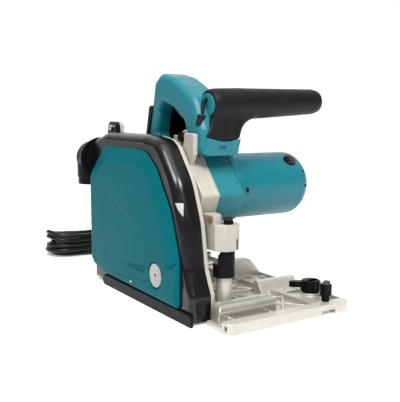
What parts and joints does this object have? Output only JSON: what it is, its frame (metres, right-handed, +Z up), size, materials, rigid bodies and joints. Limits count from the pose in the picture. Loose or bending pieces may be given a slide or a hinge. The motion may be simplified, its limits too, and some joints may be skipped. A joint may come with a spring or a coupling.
{
  "type": "track plunge saw",
  "caption": "Corded plunge saw on a ribbed base with a guide-rail groove, a cased blade, a sideways motor, a loop handle, a bar front grip and a depth-stop turret.",
  "frame": {"origin": "centre of the base plate's underside", "axes": "+Y to the rear (the cut runs towards -Y), +X right along the motor, away from the blade, +Z up"},
  "size_m": [0.2353, 0.5351, 0.2719],
  "materials": {
    "cast_alloy": "satin",
    "painted_alloy": "satin",
    "black_plastic": "semi-gloss",
    "teal_plastic": "satin",
    "soft_grip": "matt",
    "steel": "brushed",
    "blade_steel": "brushed",
    "core_steel": "satin",
    "copper": "satin",
    "carbon": "matt",
    "black_steel": "satin",
    "cord_sheath": "satin"
  },
  "bodies": {
    "base": {"base_plate": "cast_alloy", "front_crossbar": "painted_alloy", "base_screws": "steel", "case_plate": "painted_alloy", "case_shell": "black_plastic", "case_skid": "black_plastic", "hinge_pin": "steel", "nozzle_collar": "black_plastic", "case_screws": "steel", "pivot_bracket": "painted_alloy", "pivot_pin": "steel", "plunge_spring": "steel", "turret_pin": "steel"},
    "head": {"gear_housing": "painted_alloy", "gear_cover": "painted_alloy", "motor_housing": "teal_plastic", "motor_end_cap": "teal_plastic", "brush_holders": "copper", "brushes": "carbon", "brush_caps": "black_plastic", "field_core": "core_steel", "armature_bearings": "steel", "spindle_bearings": "steel", "depth_tower": "painted_alloy", "lock_nut": "steel", "handle_left": "teal_plastic", "handle_right": "teal_plastic", "rear_grip": "soft_grip", "switch_body": "black_plastic", "grip_bracket": "teal_plastic", "front_grip": "soft_grip", "grip_disc": "teal_plastic", "housing_screws": "steel", "cord_gland": "black_plastic", "cord_lead": "cord_sheath", "cord_hank": "cord_sheath", "plug": "cord_sheath"},
    "blade_set": {"big_gear": "steel", "spindle": "steel", "blade_flanges": "steel", "saw_blade": "blade_steel", "blade_bolt": "steel"},
    "armature": {"armature_shaft": "steel", "armature_core": "core_steel", "commutator": "copper", "cooling_fan": "black_plastic"},
    "cover": {"side_cover": "teal_plastic"},
    "cover_lock": {"cover_lock_screw": "steel"},
    "nozzle": {"dust_nozzle": "black_plastic"},
    "shaft_lock": {"shaft_lock_button": "black_plastic"},
    "plunge_lock": {"plunge_lock_pin": "black_plastic"},
    "dial": {"speed_dial": "black_plastic"},
    "stop_screw": {"depth_screw": "steel"},
    "turret": {"depth_turret": "black_plastic"},
    "trigger_lever": {"trigger": "black_plastic"},
    "lock_off": {"lock_off_button": "black_plastic"},
    "key": {"hex_key": "black_steel"},
    "cam_front": {"rail_cam_front": "black_plastic"},
    "cam_rear": {"rail_cam_rear": "black_plastic"},
    "rail_clamp": {"rail_lever": "black_plastic"}
  },
  "joints": [
    {"name": "plunge", "type": "hinge", "parent": "base", "child": "head", "pos_m": [-0.0595, 0.12, 0.045], "axis": [1, 0, 0], "range_deg": [0, 6], "stiffness_Nm_per_rad": 16, "springref_deg": -28.65},
    {"name": "blade_spin", "type": "hinge", "parent": "head", "child": "blade_set", "pos_m": [-0.0838, -0.02, 0.083], "axis": [1, 0, 0], "continuous": true},
    {"name": "armature_spin", "type": "hinge", "parent": "head", "child": "armature", "pos_m": [0.0155, -0.04, 0.13637], "axis": [1, 0, 0], "continuous": true},
    {"name": "cover_door", "type": "hinge", "parent": "base", "child": "cover", "pos_m": [-0.1031, 0.1274, 0.085], "axis": [0, 0, -1], "range_deg": [0, 92]},
    {"name": "cover_lock_turn", "type": "hinge", "parent": "cover", "child": "cover_lock", "pos_m": [-0.1025, -0.054, 0.0415], "axis": [1, 0, 0], "range_deg": [0, 90]},
    {"name": "nozzle_swivel", "type": "hinge", "parent": "base", "child": "nozzle", "pos_m": [-0.0875, 0.133, 0.165], "axis": [0, 1, 0], "range_deg": [-80, 80]},
    {"name": "shaft_lock_press", "type": "slide", "parent": "head", "child": "shaft_lock", "axis": [-1, 0, 0], "range_m": [0, 0.005], "stiffness_N_per_m": 300},
    {"name": "plunge_lock_slide", "type": "slide", "parent": "head", "child": "plunge_lock", "axis": [1, 0, 0], "range_m": [-0.006, 0]},
    {"name": "speed_dial_turn", "type": "hinge", "parent": "head", "child": "dial", "pos_m": [0.1165, -0.036, 0.13637], "axis": [1, 0, 0], "range_deg": [0, 280]},
    {"name": "depth_screw_turn", "type": "hinge", "parent": "head", "child": "stop_screw", "pos_m": [-0.0495, -0.118, 0.1], "axis": [0, 0, 1], "range_deg": [-180, 180]},
    {"name": "turret_turn", "type": "hinge", "parent": "base", "child": "turret", "pos_m": [-0.0495, -0.11, 0.055], "axis": [0, 0, 1], "continuous": true},
    {"name": "trigger_squeeze", "type": "hinge", "parent": "head", "child": "trigger_lever", "pos_m": [-0.0425, -0.0395, 0.218], "axis": [1, 0, 0], "range_deg": [0, 7], "stiffness_Nm_per_rad": 0.6, "springref_deg": -8.59},
    {"name": "lock_off_press", "type": "slide", "parent": "head", "child": "lock_off", "axis": [-1, 0, 0], "range_m": [0, 0.004], "stiffness_N_per_m": 300},
    {"name": "hex_key_pull", "type": "slide", "parent": "head", "child": "key", "axis": [-1, 0, 0], "range_m": [0, 0.026]},
    {"name": "front_cam_turn", "type": "hinge", "parent": "base", "child": "cam_front", "pos_m": [0.0655, -0.124, 0.015], "axis": [0, 0, 1], "range_deg": [-60, 60]},
    {"name": "rear_cam_turn", "type": "hinge", "parent": "base", "child": "cam_rear", "pos_m": [0.0655, 0.124, 0.015], "axis": [0, 0, 1], "range_deg": [-60, 60]},
    {"name": "rail_lever_turn", "type": "hinge", "parent": "base", "child": "rail_clamp", "pos_m": [0.0575, -0.1575, 0.015], "axis": [0, 0, 1], "range_deg": [-60, 0]}
  ],
  "couplings": [
    {"joint": "armature_spin", "follows": "blade_spin", "ratio": -4.0667}
  ]
}
